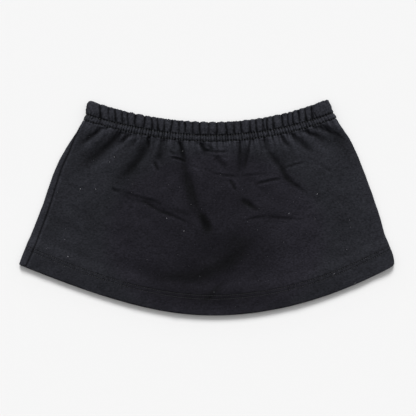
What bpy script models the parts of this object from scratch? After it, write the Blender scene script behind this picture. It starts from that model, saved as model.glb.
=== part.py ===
"""A black sweatshirt-knit mini skirt with a gathered elastic waist, laid flat on its back.

The skirt is a flattened tube of cloth. Its outer surface is worked out section by section, from
the waist edge down to the hem: each section is a closed loop that runs over the front, round the
right fold, under the back and round the left fold. A piece of cloth is a wall that follows a
stretch of these loops, and its points are set in from the outer surface by their depth.

The waist is towards +Y, the front faces +Z, and the origin is at the middle of the footprint, on
the surface that the skirt lies on. Lengths are in millimetres until a mesh is made from them.
"""
import math
from collections import namedtuple

import bpy
import numpy as np

MM = 0.001

# Driving sizes.
LENGTH = 255.0          # waist edge to hem, down the centre front
CLOTH = 1.3             # thickness of the sweatshirt knit
SEAM_GAP = 0.3          # space between neighbouring pieces
ELASTIC = 1.2           # thickness of the elastic in the waistband
ELASTIC_TOP = 2.4       # the elastic's two edges, below the waist edge
ELASTIC_BOTTOM = 24.6
UPPER_ROW = 17.5        # the waistband's two stitch rows, below the waist edge
LOWER_ROW = 25.0
TURN_UP = 28.0          # depth of the cloth turned up inside the hem
CENTRE_X = 9.0          # the centre front line
WAIST_Y = 112.7         # the waist edge at the centre front

BAND = 2 * CLOTH + ELASTIC + 2 * SEAM_GAP      # one half of the waistband, through its thickness
BAND_FOLD = BAND / 2                           # radius of the waistband's fold at the waist edge
HEM = 2 * CLOTH + SEAM_GAP                     # one half of the hem, through its thickness
HEM_FOLD = HEM / 2                             # radius of the fold at the hem
TWO_LAYERS = 2 * CLOTH + SEAM_GAP              # front lying on back
PANEL_TOP = LOWER_ROW + SEAM_GAP

# The laid skirt, a row for each section: the distance down the centre front, where the section's
# left and right edges are, the height of the skirt at its side folds and between them, and how far
# round the side fold each side seam lies, from the outermost point of the fold.
Section = namedtuple("Section", "down left_x left_y right_x right_y side middle seam")
SECTIONS = (
    Section(0.0, -157.2, 141.8, 160.0, 142.7, 10.6, 9.2, 2.8),
    Section(17.5, -159.4, 123.1, 166.9, 125.1, 10.6, 9.2, 2.8),
    Section(25.0, -162.8, 116.2, 170.9, 118.5, 10.2, 9.0, 2.9),
    Section(42.0, -170.3, 102.3, 179.3, 105.1, 7.8, 6.2, 3.3),
    Section(60.0, -179.0, 89.6, 188.1, 92.5, 6.4, 5.0, 5.6),
    Section(80.0, -188.2, 74.3, 196.1, 76.6, 5.6, 4.6, 8.0),
    Section(105.0, -199.1, 53.3, 205.3, 54.7, 5.2, 4.5, 9.3),
    Section(132.0, -207.5, 31.1, 213.7, 32.5, 5.0, 4.4, 10.4),
    Section(158.0, -215.0, 8.5, 221.6, 10.1, 4.8, 4.0, 10.8),
    Section(185.0, -223.2, -13.7, 228.9, -12.4, 4.7, 3.5, 11.1),
    Section(210.0, -231.9, -34.6, 235.3, -34.4, 5.0, 3.5, 12.0),
    Section(226.0, -237.5, -48.2, 240.4, -47.8, 6.6, 6.3, 13.0),
    Section(243.0, -243.5, -63.0, 246.5, -64.2, 6.8, 6.3, 12.4),
    Section(250.0, -246.0, -70.0, 247.6, -73.0, 6.8, 6.3, 12.0),
    Section(255.0, -247.8, -74.8, 242.2, -79.3, 6.8, 6.3, 11.4),
)

# How rounded a section is at the centre front: large for a parabola, small for two straight
# halves that meet in a tight curve.
RIGHT_ROUNDNESS = 3.0
LEFT_ROUNDNESS_WAIST = 3.0
LEFT_ROUNDNESS_HEM = 0.65

# The largest folds of the front, each a soft trough or ridge along a line that starts at x, y.
# Bend is how far the middle of the line bows to its left, width and to_width are half widths, and
# rise is its height, below zero for a trough. Held folds start at the waistband.
Fold = namedtuple("Fold", "x y to_x to_y bend width to_width rise held")
FOLDS = (
    Fold(-136.8, 105.5, -172.5, 75.1, 0.0, 6.0, 9.0, -2.0, True),
    Fold(-126.0, 101.0, -168.0, 66.0, 0.0, 5.0, 7.0, 0.9, True),
    Fold(-115.7, 97.5, -164.5, 56.6, 1.5, 6.5, 10.0, -2.8, True),
    Fold(-99.9, 94.9, -122.3, 71.1, 0.0, 5.0, 7.0, -1.6, True),
    Fold(-104.0, 84.0, -146.0, 34.0, 2.0, 8.0, 11.0, 1.3, False),
    Fold(-76.8, 92.3, -117.7, 34.2, 4.9, 4.5, 11.0, -2.9, True),
    Fold(-61.6, 89.0, -72.0, 52.7, 0.0, 4.5, 8.0, -1.5, True),
    Fold(-36.9, 88.0, -2.2, -26.5, 0.0, 4.5, 8.0, -2.5, True),
    Fold(-25.0, 86.0, -4.0, 20.0, 0.0, 6.0, 9.0, 0.9, True),
    Fold(-8.8, 85.7, 4.0, 66.0, 0.0, 4.5, 8.0, -1.7, True),
    Fold(26.0, 86.0, 22.0, 50.0, 0.0, 8.0, 10.0, 0.8, True),
    Fold(42.5, 85.7, 40.4, 45.0, 0.0, 5.0, 7.5, -2.1, True),
    Fold(56.0, 87.0, 51.6, 58.0, 0.0, 4.5, 6.0, -1.5, True),
    Fold(75.5, 90.0, 80.0, 72.0, 0.0, 4.5, 6.0, -1.5, True),
    Fold(79.0, 80.0, 106.0, 45.0, 0.0, 6.0, 8.0, -1.9, False),
    Fold(101.0, 49.0, 136.0, 18.0, -3.0, 5.0, 6.5, -1.7, False),
    Fold(98.5, 95.0, 104.0, 78.0, 0.0, 4.5, 6.0, -1.4, True),
    Fold(115.3, 97.5, 140.0, 69.0, 2.0, 5.5, 9.0, -2.2, True),
    Fold(131.1, 102.0, 166.0, 72.0, 2.0, 5.0, 8.0, -1.6, True),
    Fold(146.0, 108.5, 184.0, 86.0, 3.0, 5.5, 9.0, -2.3, True),
    Fold(-128.0, 25.0, -49.0, 0.0, -2.0, 6.0, 5.0, -1.0, False),
    Fold(-94.0, 14.0, -24.0, -18.0, -2.0, 5.0, 5.0, -1.0, False),
    Fold(42.0, 11.0, 68.0, 0.0, 0.0, 6.0, 6.0, -1.4, False),
    Fold(52.0, -13.3, 130.0, -15.0, 0.0, 5.0, 5.0, -0.8, False),
    Fold(-8.0, -6.0, 4.0, -36.0, 0.0, 8.0, 9.0, -1.4, False),
)
FOLD_FADE = 0.45        # share of a fold's length over which it fades out
BAND_FADE = 5.0         # distance below the waistband over which the folds set in
HEM_FADE = 20.0         # and over which they die away, above the cloth turned up inside the hem
HEM_CLEAR = 2.0         # flat cloth between the folds' end and that turned-up cloth
LEAST_SPACE = 0.1       # least space left between the front and the back
SOFT_FLOOR = 0.6        # how softly the deepest folds flatten onto the back

# A low swell where the front stands away from the back.
SWELL_X = 2.0
SWELL_Y = -22.0
SWELL_HALF_X = 105.0
SWELL_HALF_Y = 42.0
SWELL_RISE = 1.1

# The creases between the puffs of the waistband: where each crosses the waistband, how far it
# leans towards +X on its way down, and how deep it is beside the deepest.
Crease = namedtuple("Crease", "x lean depth")
CREASES = (
    Crease(-139.5, 0.5, 1.0),
    Crease(-128.5, 1.0, 0.5),
    Crease(-120.0, 1.5, 0.9),
    Crease(-111.0, 0.5, 0.8),
    Crease(-103.5, 1.0, 0.7),
    Crease(-93.5, -1.5, 1.0),
    Crease(-82.5, -2.5, 1.0),
    Crease(-72.0, 0.5, 0.8),
    Crease(-64.5, 1.0, 0.9),
    Crease(-56.0, -0.5, 0.7),
    Crease(-46.5, -3.0, 1.0),
    Crease(-36.5, 0.5, 0.8),
    Crease(-28.5, 0.0, 1.0),
    Crease(-18.0, 0.5, 0.8),
    Crease(-8.5, 0.5, 1.0),
    Crease(2.5, 0.0, 0.5),
    Crease(13.0, -0.5, 0.9),
    Crease(26.0, 2.5, 1.0),
    Crease(36.0, 0.5, 0.8),
    Crease(46.0, 2.0, 1.0),
    Crease(57.0, 1.0, 0.9),
    Crease(65.5, 1.5, 0.8),
    Crease(73.5, 0.5, 0.8),
    Crease(80.0, 0.5, 0.9),
    Crease(88.0, 1.5, 0.9),
    Crease(99.0, 2.5, 1.0),
    Crease(107.5, 1.0, 0.7),
    Crease(113.5, 1.5, 0.8),
    Crease(121.5, 2.0, 1.0),
    Crease(130.0, 2.0, 0.9),
    Crease(138.0, 1.5, 1.0),
)
END_CREASE = 0.3                    # depth of the creases at the side seams
BACK_SHIFT = 4.0                    # how far the back's creases lie from a true mirror image
PUFF_STEPS = (0.14, 0.5, 0.86)      # columns between two creases, as shares of the puff
END_PUFF_STEPS = tuple(0.08 + 0.12 * step for step in range(8))     # and of the wide end puffs
PUFF_HEIGHT = 1.3                   # crown of a puff above its creases
PUFF_SPACING = 10.0                 # spacing of the creases beside a full-height puff
PUFF_LIMIT = 1.25                   # height of the widest puffs, beside a full-height one
PUFF_FULLNESS = 0.6                 # 1 for a sine's crown, less for a fuller one
PUFF_AT_FOLD = 0.7                  # how strongly the puffs show on the fold at the waist edge
STITCH_SINK = 0.4                   # how far the stitch rows pull the cloth in

# The outside of the waistband, a row for each line round it: its distance down, how strongly the
# puffs show on it, and how far the cloth is pulled in.
BandRow = namedtuple("BandRow", "down puffs sink")
BAND_ROWS = (
    BandRow(BAND_FOLD, 0.9, 0.0),
    BandRow(6.0, 1.0, 0.0),
    BandRow(11.0, 1.0, 0.0),
    BandRow(15.8, 0.75, 0.0),
    BandRow(UPPER_ROW, 0.25, STITCH_SINK),
    BandRow(19.2, 0.35, 0.1),
    BandRow(23.4, 0.35, 0.1),
)

# Where a panel has its rows: down its gathered top, down its plain part, and at the hem.
GATHERED_ROWS = (PANEL_TOP, 27.5, 30.5, 34.0, 38.0, 42.5, 47.5, 53.0, 59.0, 66.0)
PLAIN_ROWS = (75.0, 86.0, 99.0, 112.0, 126.0, 140.0, 155.0, 171.0, 189.0, 206.0)
TURN_UP_MIDDLE = 240.0
HEM_EDGE = LENGTH - HEM_FOLD
HEM_ROWS = (214.0, 220.0, 226.0, TURN_UP_MIDDLE, 248.5, HEM_EDGE)

GATHERED_COLUMNS = 88   # columns of the gathered top of the front panel, outside and inside
GATHERED_LINING = 50
PLAIN_COLUMNS = 44      # columns of plain cloth, outside and inside
PLAIN_LINING = 28
BAND_COLUMNS = 34       # plain columns inside the waistband, between its two side folds
BAND_TURN = (2.0, 2.0, 2.5, 3.0, 4.0)                           # columns round a fold of the band
PANEL_TURN = (1.5, 1.5, 2.0, 2.0, 2.0, 2.5, 3.0, 4.0)           # and round a fold of a panel
PANEL_START = (2.0, 4.0)                                        # and at a panel's other seam
LINE_SAMPLES = 241      # places worked out along each section
FLAT_EDGE = 26.0        # how far in from the side folds the height settles

CLOTH_COLOUR = (0.014, 0.015, 0.018, 1.0)
ELASTIC_COLOUR = (0.02, 0.02, 0.022, 1.0)


def through_rows(name, down):
    """A column of SECTIONS at a distance down the skirt, on a curve that never overshoots its rows."""
    rows = np.array([section.down for section in SECTIONS])
    values = np.array([getattr(section, name) for section in SECTIONS])
    steps = np.diff(rows)
    secants = np.diff(values) / steps
    slopes = np.empty_like(values)
    slopes[0] = secants[0]
    slopes[-1] = secants[-1]
    for index in range(1, len(values) - 1):
        before = secants[index - 1]
        after = secants[index]
        slopes[index] = 2 * before * after / (before + after) if before * after > 0 else 0.0
    index = int(np.clip(np.searchsorted(rows, down) - 1, 0, len(steps) - 1))
    step = steps[index]
    share = (down - rows[index]) / step
    start = (1 + 2 * share) * (1 - share) ** 2 * values[index]
    leave = share * (1 - share) ** 2 * step * slopes[index]
    end = share ** 2 * (3 - 2 * share) * values[index + 1]
    arrive = share ** 2 * (share - 1) * step * slopes[index + 1]
    return float(start + leave + end + arrive)


def smooth_step(value, low, high):
    """0 below low, 1 above high, and a smooth rise between them."""
    share = np.clip((value - low) / (high - low), 0.0, 1.0)
    return share * share * (3 - 2 * share)


def section_line(down):
    """Where a section runs, seen from above: its x and y, and the distance along it, from the left."""
    left_x = through_rows("left_x", down)
    right_x = through_rows("right_x", down)
    left_y = through_rows("left_y", down)
    right_y = through_rows("right_y", down)
    centre_y = WAIST_Y - down
    left_round = LEFT_ROUNDNESS_WAIST + (LEFT_ROUNDNESS_HEM - LEFT_ROUNDNESS_WAIST) * down / LENGTH
    x = np.linspace(left_x, right_x, LINE_SAMPLES)
    on_left = x < CENTRE_X
    reach = np.abs(x - CENTRE_X) / np.where(on_left, CENTRE_X - left_x, right_x - CENTRE_X)
    roundness = np.where(on_left, left_round, RIGHT_ROUNDNESS)
    bow = (np.hypot(reach, roundness) - roundness) / (np.hypot(1.0, roundness) - roundness)
    y = centre_y + (np.where(on_left, left_y, right_y) - centre_y) * bow
    along = np.concatenate(([0.0], np.cumsum(np.hypot(np.diff(x), np.diff(y)))))
    return x, y, along


def fold_rise(x, y):
    """Height that the folds and the swell add to the front, at places seen from above."""
    rise = np.zeros_like(x)
    for fold in FOLDS:
        run_x = fold.to_x - fold.x
        run_y = fold.to_y - fold.y
        run = math.hypot(run_x, run_y)
        share = ((x - fold.x) * run_x + (y - fold.y) * run_y) / run ** 2
        aside = ((y - fold.y) * run_x - (x - fold.x) * run_y) / run
        within = np.clip(share, 0.0, 1.0)
        aside = aside - fold.bend * 4 * within * (1 - within)
        width = fold.width + (fold.to_width - fold.width) * within
        fade = 1 - smooth_step(share, 1 - FOLD_FADE, 1.0)
        if not fold.held:
            fade = fade * smooth_step(share, 0.0, FOLD_FADE)
        rise = rise + fold.rise * fade * np.exp(-(aside / width) ** 2)
    swell = ((x - SWELL_X) / SWELL_HALF_X) ** 2 + ((y - SWELL_Y) / SWELL_HALF_Y) ** 2
    return rise + SWELL_RISE * np.exp(-swell)


def front_height(down, x, y, from_side):
    """Height of the front's outer surface, at places at a distance from the nearer side fold."""
    side = through_rows("side", down)
    middle = through_rows("middle", down)
    flat = smooth_step(from_side, 0.0, FLAT_EDGE)
    below_band = smooth_step(down, LOWER_ROW, LOWER_ROW + BAND_FADE)
    last_fold = LENGTH - TURN_UP - HEM_CLEAR
    above_hem = 1 - smooth_step(down, last_fold - HEM_FADE, last_fold)
    height = middle + fold_rise(x, y) * below_band * above_hem
    least = TWO_LAYERS + LEAST_SPACE
    height = 0.5 * (height + least + np.hypot(height - least, SOFT_FLOOR))
    return side + (height - side) * flat


class Ring:
    """The outer surface at one section, with every place on it given by its girth.

    Girth is the distance round the section's loop from the outermost point of the left fold, over
    the front to the outermost point of the right fold and on under the back. Below zero it runs
    from the left fold under the back.
    """

    def __init__(self, down):
        self.down = down
        self.radius = through_rows("side", down) / 2
        self.turn = math.pi / 2 * self.radius
        self.x, self.y, self.along = section_line(down)
        self.width = self.along[-1]
        self.over = self.width - 2 * self.radius + 2 * self.turn
        self.seam = through_rows("seam", down)

    def from_left(self, girth):
        """Distance from the left fold, over the front or under the back, for each girth."""
        return np.where(girth < 0, -girth, np.where(girth > self.over, 2 * self.over - girth, girth))

    def girth_at(self, x):
        """Girth of a place on the front, from its x."""
        return np.interp(x, self.x, self.along) - self.radius + self.turn

    def surface(self, girth):
        """Points of the outer surface, its outward normals, and the way to the waist edge."""
        girth = np.asarray(girth, dtype=float)
        on_back = (girth < 0) | (girth > self.over)
        run = self.from_left(girth)
        from_edge = np.minimum(run, self.over - run)
        angle = np.clip(from_edge / self.radius, 0.0, math.pi / 2)
        inset = np.where(angle < math.pi / 2, self.radius, self.radius + from_edge - self.turn)
        on_left = run < self.over / 2
        across = np.where(on_left, inset, self.width - inset)
        x = np.interp(across, self.along, self.x)
        y = np.interp(across, self.along, self.y)
        tangent = self.tangent(across)
        upright = np.where(on_back, -1.0, 1.0)
        outward = np.where(on_left, -1.0, 1.0) * np.cos(angle)
        outward = np.where(angle < math.pi / 2, outward, 0.0)
        normal = np.column_stack((tangent * outward[:, None], upright * np.sin(angle)))
        height = front_height(self.down, x, y, inset - self.radius)
        middle = np.where(on_back, self.radius, height - self.radius)
        points = np.column_stack((x, y, middle)) + normal * self.radius
        return points, normal, self.to_waist(across / self.width)

    def tangent(self, across):
        """Unit direction of the section towards +X, seen from above."""
        ahead = np.clip(across + 1.0, 0.0, self.width)
        behind = np.clip(across - 1.0, 0.0, self.width)
        run_x = np.interp(ahead, self.along, self.x) - np.interp(behind, self.along, self.x)
        run_y = np.interp(ahead, self.along, self.y) - np.interp(behind, self.along, self.y)
        return np.column_stack((run_x, run_y)) / np.hypot(run_x, run_y)[:, None]

    def to_waist(self, share):
        """Unit direction towards the waist edge, at shares of the section's width."""
        upper_x, upper_y, upper = section_line(max(self.down - 1.0, 0.0))
        lower_x, lower_y, lower = section_line(min(self.down + 1.0, LENGTH))
        run_x = np.interp(share, upper / upper[-1], upper_x) - np.interp(share, lower / lower[-1], lower_x)
        run_y = np.interp(share, upper / upper[-1], upper_y) - np.interp(share, lower / lower[-1], lower_y)
        run = np.hypot(run_x, run_y)
        return np.column_stack((run_x / run, run_y / run, np.zeros_like(run)))


# One row of points round the cloth: the points, the share of the row at each of them, and how far
# along the cloth the row is, which is the same for two rows that face each other.
Row = namedtuple("Row", "points shares place")


def make_row(ring, girth, place, depth, towards_waist=0.0):
    """A row of points at a depth under the outer surface, moved towards the waist edge."""
    points, normal, up = ring.surface(girth)
    depth = np.broadcast_to(depth, girth.shape)
    points = points - normal * depth[:, None] + up * np.broadcast_to(towards_waist, girth.shape)[:, None]
    points[:, 2] = np.maximum(points[:, 2], 0.0)
    return Row(points, (girth - girth[0]) / (girth[-1] - girth[0]), place)


def zip_rows(faces, first, second, first_shares, second_shares):
    """Triangles between two rows of vertices, which may have unlike numbers of points."""
    left = 0
    right = 0
    while left < len(first) - 1 or right < len(second) - 1:
        take_first = right == len(second) - 1
        if not take_first and left < len(first) - 1:
            take_first = first_shares[left + 1] <= second_shares[right + 1] + 1e-9
        if take_first:
            faces.append((first[left], first[left + 1], second[right]))
            left += 1
        else:
            faces.append((first[left], second[right + 1], second[right]))
            right += 1


def collection_of(name):
    """The collection that holds the skirt's pieces."""
    collection = bpy.data.collections.get(name)
    if collection is None:
        collection = bpy.data.collections.new(name)
        bpy.context.scene.collection.children.link(collection)
    return collection


def make_material(name, colour, roughness):
    """A plain material in a piece's colour."""
    material = bpy.data.materials.new(name)
    material.use_nodes = True
    shader = material.node_tree.nodes["Principled BSDF"]
    shader.inputs["Base Color"].default_value = colour
    shader.inputs["Roughness"].default_value = roughness
    shader.inputs["Metallic"].default_value = 0.0
    material.diffuse_color = colour
    return material


def add_piece(name, vertices, faces, colour, roughness):
    """One closed solid, from points in millimetres."""
    mesh = bpy.data.meshes.new(name)
    mesh.from_pydata([tuple(point * MM) for point in vertices], [], faces)
    mesh.validate()
    mesh.shade_smooth()
    mesh.materials.append(make_material(name, colour, roughness))
    piece = bpy.data.objects.new(name, mesh)
    collection_of("mini_skirt").objects.link(piece)
    return piece


def cloth_wall(name, outside, inside):
    """A wall of cloth between rows on its outside and rows on its inside, closed all round.

    Both lists run the same way along the cloth, and each row runs round the skirt by its girth.
    """
    vertices = []
    faces = []
    sides = []
    for rows in (outside, inside):
        side = []
        for row in rows:
            side.append(list(range(len(vertices), len(vertices) + len(row.points))))
            vertices.extend(row.points)
        sides.append(side)
    outer, inner = sides
    for index in range(len(outside) - 1):
        zip_rows(faces, outer[index + 1], outer[index], outside[index + 1].shares, outside[index].shares)
    for index in range(len(inside) - 1):
        zip_rows(faces, inner[index], inner[index + 1], inside[index].shares, inside[index + 1].shares)
    zip_rows(faces, outer[0], inner[0], outside[0].shares, inside[0].shares)
    zip_rows(faces, inner[-1], outer[-1], inside[-1].shares, outside[-1].shares)
    outer_places = [row.place for row in outside]
    inner_places = [row.place for row in inside]
    first_outer = [row[0] for row in outer]
    first_inner = [row[0] for row in inner]
    last_outer = [row[-1] for row in outer]
    last_inner = [row[-1] for row in inner]
    zip_rows(faces, first_inner, first_outer, inner_places, outer_places)
    zip_rows(faces, last_outer, last_inner, outer_places, inner_places)
    return add_piece(name, vertices, faces, CLOTH_COLOUR, 0.95)


def front_range(ring):
    """Girth of the front panel: from the left seam, over the front, to the seam under the right fold."""
    return ring.seam + SEAM_GAP / 2, ring.over + ring.seam - SEAM_GAP / 2


def back_range(ring):
    """Girth of the back panel: from the seam under the right fold, below, to the left seam."""
    return ring.seam - ring.over + SEAM_GAP / 2, ring.seam - SEAM_GAP / 2


def spaced(start, end, first_gaps, last_gaps, count):
    """Girths from start to end: closely spaced at both ends, and evenly between."""
    near = start + np.cumsum((0.0,) + first_gaps)
    far = end - np.cumsum((0.0,) + last_gaps)[::-1]
    between = np.linspace(near[-1], far[0], count)[1:-1]
    return np.concatenate((near, between, far))


def panel_columns(ring, is_front, count):
    """Girths of a panel's columns at one section, close together round the fold it goes round."""
    if is_front:
        start, end = front_range(ring)
    else:
        start, end = back_range(ring)
    return spaced(start, end, PANEL_START, PANEL_TURN, count)


def panel_rows(is_front, outside):
    """Rows of one side of a panel, from its top edge down, round the hem and up its turned-up edge."""
    plain_count = PLAIN_COLUMNS if outside else PLAIN_LINING
    top_count = plain_count
    if is_front:
        top_count = GATHERED_COLUMNS if outside else GATHERED_LINING
    depth = 0.0 if outside else CLOTH
    rows = []
    for down in GATHERED_ROWS:
        ring = Ring(down)
        sink = STITCH_SINK if down == PANEL_TOP and is_front else 0.0
        rows.append(make_row(ring, panel_columns(ring, is_front, top_count), down, depth + sink))
    for down in PLAIN_ROWS + HEM_ROWS:
        ring = Ring(down)
        rows.append(make_row(ring, panel_columns(ring, is_front, plain_count), down, depth))
    radius = HEM_FOLD - depth
    ring = Ring(HEM_EDGE)
    columns = panel_columns(ring, is_front, plain_count)
    for degrees in ((45.0, 90.0, 135.0) if outside else (90.0,)):
        angle = math.radians(degrees)
        place = HEM_EDGE + angle * HEM_FOLD
        below = radius * math.sin(angle)
        rows.append(make_row(ring, columns, place, HEM_FOLD - radius * math.cos(angle), -below))
    for down in (HEM_EDGE, TURN_UP_MIDDLE, LENGTH - TURN_UP):
        ring = Ring(down)
        place = HEM_EDGE + math.pi * HEM_FOLD + HEM_EDGE - down
        rows.append(make_row(ring, panel_columns(ring, is_front, plain_count), place, HEM - depth))
    return rows


def make_panel(name, is_front):
    """The front or back panel, from the waistband down, with its hem turned up inside."""
    return cloth_wall(name, panel_rows(is_front, True), panel_rows(is_front, False))


def crease_table(is_front):
    """The creases round the front, or the back's, which are the front's the other way round."""
    if is_front:
        return CREASES
    return tuple(Crease(BACK_SHIFT - crease.x, -crease.lean, crease.depth) for crease in reversed(CREASES))


def gathered_columns(ring, is_front):
    """Girths of the waistband's columns, in step with its creases, and the relief at each of them."""
    creases = crease_table(is_front)
    drop = ring.down / UPPER_ROW - 0.5
    girths = []
    for crease in creases:
        girths.append(float(ring.girth_at(crease.x + crease.lean * drop)))
    if is_front:
        start, end = front_range(ring)
    else:
        start, end = back_range(ring)
        girths = [-girth for girth in reversed(girths)]
        creases = tuple(reversed(creases))
    edges = [start] + girths + [end]
    depths = [END_CREASE] + [crease.depth for crease in creases] + [END_CREASE]
    columns = [start]
    reliefs = [-depths[0]]
    for index in range(len(edges) - 1):
        gap = edges[index + 1] - edges[index]
        crown = min(gap / PUFF_SPACING, PUFF_LIMIT)
        at_end = index == 0 or index == len(edges) - 2
        for share in END_PUFF_STEPS if at_end else PUFF_STEPS:
            puff = math.sin(math.pi * share) ** PUFF_FULLNESS
            floor = depths[index] + (depths[index + 1] - depths[index]) * share
            columns.append(edges[index] + gap * share)
            reliefs.append(puff * crown - (1 - puff) * floor)
        columns.append(edges[index + 1])
        reliefs.append(-depths[index + 1])
    return np.array(columns), np.array(reliefs)


def waistband_rows(is_front, outside):
    """Rows of one side of the casing, from its edge inside, over the waist edge and down outside."""
    depth = 0.0 if outside else CLOTH
    radius = BAND_FOLD - depth
    over = math.pi * BAND_FOLD
    rows = []
    for down in (LOWER_ROW, UPPER_ROW):
        ring = Ring(down)
        plain = plain_band_columns(ring, is_front)
        rows.append(make_row(ring, plain, BAND_FOLD - over - down, BAND - depth))
    ring = Ring(BAND_FOLD)
    plain = plain_band_columns(ring, is_front)
    gathered, reliefs = gathered_columns(ring, is_front)
    rows.append(make_row(ring, plain, -over, BAND - depth))
    for degrees in ((135.0, 90.0, 45.0) if outside else (90.0,)):
        angle = math.radians(degrees)
        reach = radius
        columns = plain
        if outside:
            reach = radius + reliefs * PUFF_HEIGHT / 2 * PUFF_AT_FOLD * math.cos(angle / 2)
            columns = gathered
        rows.append(make_row(
            ring, columns, -angle * BAND_FOLD, BAND_FOLD - reach * math.cos(angle), reach * math.sin(angle)
        ))
    if outside:
        for band_row in BAND_ROWS:
            ring = Ring(band_row.down)
            gathered, reliefs = gathered_columns(ring, is_front)
            relief = reliefs * PUFF_HEIGHT / 2 * band_row.puffs
            rows.append(make_row(ring, gathered, band_row.down, band_row.sink - relief))
    else:
        for down in (BAND_FOLD, UPPER_ROW):
            ring = Ring(down)
            rows.append(make_row(ring, plain_band_columns(ring, is_front), down, depth))
    ring = Ring(LOWER_ROW)
    sink = STITCH_SINK if outside else 0.0
    rows.append(make_row(ring, plain_band_columns(ring, is_front), LOWER_ROW, depth + sink))
    return rows


def plain_band_columns(ring, is_front):
    """Girths of the plain columns inside the waistband."""
    if is_front:
        start, end = front_range(ring)
    else:
        start, end = back_range(ring)
    return spaced(start, end, BAND_TURN, BAND_TURN, BAND_COLUMNS)


def make_waistband(name, is_front):
    """Half of the casing: cloth folded over the elastic, gathered into puffs between its creases."""
    return cloth_wall(name, waistband_rows(is_front, True), waistband_rows(is_front, False))


def make_elastic(name):
    """The closed loop of flat elastic inside the casing."""
    near = CLOTH + SEAM_GAP
    far = near + ELASTIC
    outline = (
        (ELASTIC_BOTTOM, near),
        (UPPER_ROW, near),
        (ELASTIC_TOP, near),
        (ELASTIC_TOP, far),
        (UPPER_ROW, far),
        (ELASTIC_BOTTOM, far),
    )
    loops = []
    for down, depth in outline:
        ring = Ring(down)
        over = spaced(0.0, ring.over, BAND_TURN, BAND_TURN, BAND_COLUMNS)
        girth = np.concatenate((over[:-1], -over[::-1][:-1]))
        loops.append(make_row(ring, girth, down, depth).points)
    count = len(loops[0])
    faces = []
    for line in range(len(loops)):
        base = line * count
        above = (line + 1) % len(loops) * count
        for index in range(count):
            after = (index + 1) % count
            faces.append((base + index, base + after, above + after, above + index))
    return add_piece(name, np.concatenate(loops), faces, ELASTIC_COLOUR, 0.7)


def clear_scene():
    """Remove every object that is already in the scene."""
    for item in list(bpy.data.objects):
        bpy.data.objects.remove(item, do_unlink=True)


def main():
    clear_scene()
    make_panel("front_panel", True)
    make_panel("back_panel", False)
    make_waistband("waistband_front", True)
    make_waistband("waistband_back", False)
    make_elastic("waist_elastic")


main()
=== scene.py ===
"""The looks of a black sweatshirt-knit mini skirt, laid flat on its back and seen from above.

The skirt is a flattened tube of cloth. Each piece of cloth is a thin wall over its solid: the same
sections, folds and creases, with the finer relief added. Lengths are in millimetres until a mesh is
made from them. The waist is towards +Y and the front faces +Z.
"""
import math
from collections import namedtuple

import bpy
import numpy as np
from mathutils import Matrix


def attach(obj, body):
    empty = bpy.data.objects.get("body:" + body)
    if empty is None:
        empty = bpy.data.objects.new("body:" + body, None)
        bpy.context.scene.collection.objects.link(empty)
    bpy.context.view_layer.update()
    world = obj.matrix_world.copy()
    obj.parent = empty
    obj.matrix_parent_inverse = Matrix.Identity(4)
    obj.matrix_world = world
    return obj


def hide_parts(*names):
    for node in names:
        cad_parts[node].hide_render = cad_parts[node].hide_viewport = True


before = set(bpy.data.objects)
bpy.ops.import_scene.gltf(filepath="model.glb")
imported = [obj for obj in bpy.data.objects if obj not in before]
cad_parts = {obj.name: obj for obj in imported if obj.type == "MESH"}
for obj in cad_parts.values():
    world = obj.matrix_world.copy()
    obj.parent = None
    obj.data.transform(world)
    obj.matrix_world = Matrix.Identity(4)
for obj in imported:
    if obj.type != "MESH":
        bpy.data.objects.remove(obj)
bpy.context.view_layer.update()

MM = 0.001

# Sizes of the solids, which the cloth follows.
LENGTH = 255.0  # waist edge to hem, down the centre front
CLOTH = 1.3  # thickness of the sweatshirt knit
SEAM_GAP = 0.3  # space between neighbouring pieces
ELASTIC = 1.2  # thickness of the elastic in the waistband
UPPER_ROW = 17.5  # the waistband's two stitch rows, below the waist edge
LOWER_ROW = 25.0
TURN_UP = 28.0  # depth of the cloth turned up inside the hem
CENTRE_X = 9.0  # the centre front line
WAIST_Y = 112.7  # the waist edge at the centre front

BAND = 2 * CLOTH + ELASTIC + 2 * SEAM_GAP  # one half of the waistband, through its thickness
BAND_FOLD = BAND / 2  # radius of the waistband's fold at the waist edge
HEM = 2 * CLOTH + SEAM_GAP  # one half of the hem, through its thickness
HEM_FOLD = HEM / 2  # radius of the fold at the hem
TWO_LAYERS = 2 * CLOTH + SEAM_GAP  # front lying on back
PANEL_TOP = LOWER_ROW + SEAM_GAP
HEM_EDGE = LENGTH - HEM_FOLD

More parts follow.
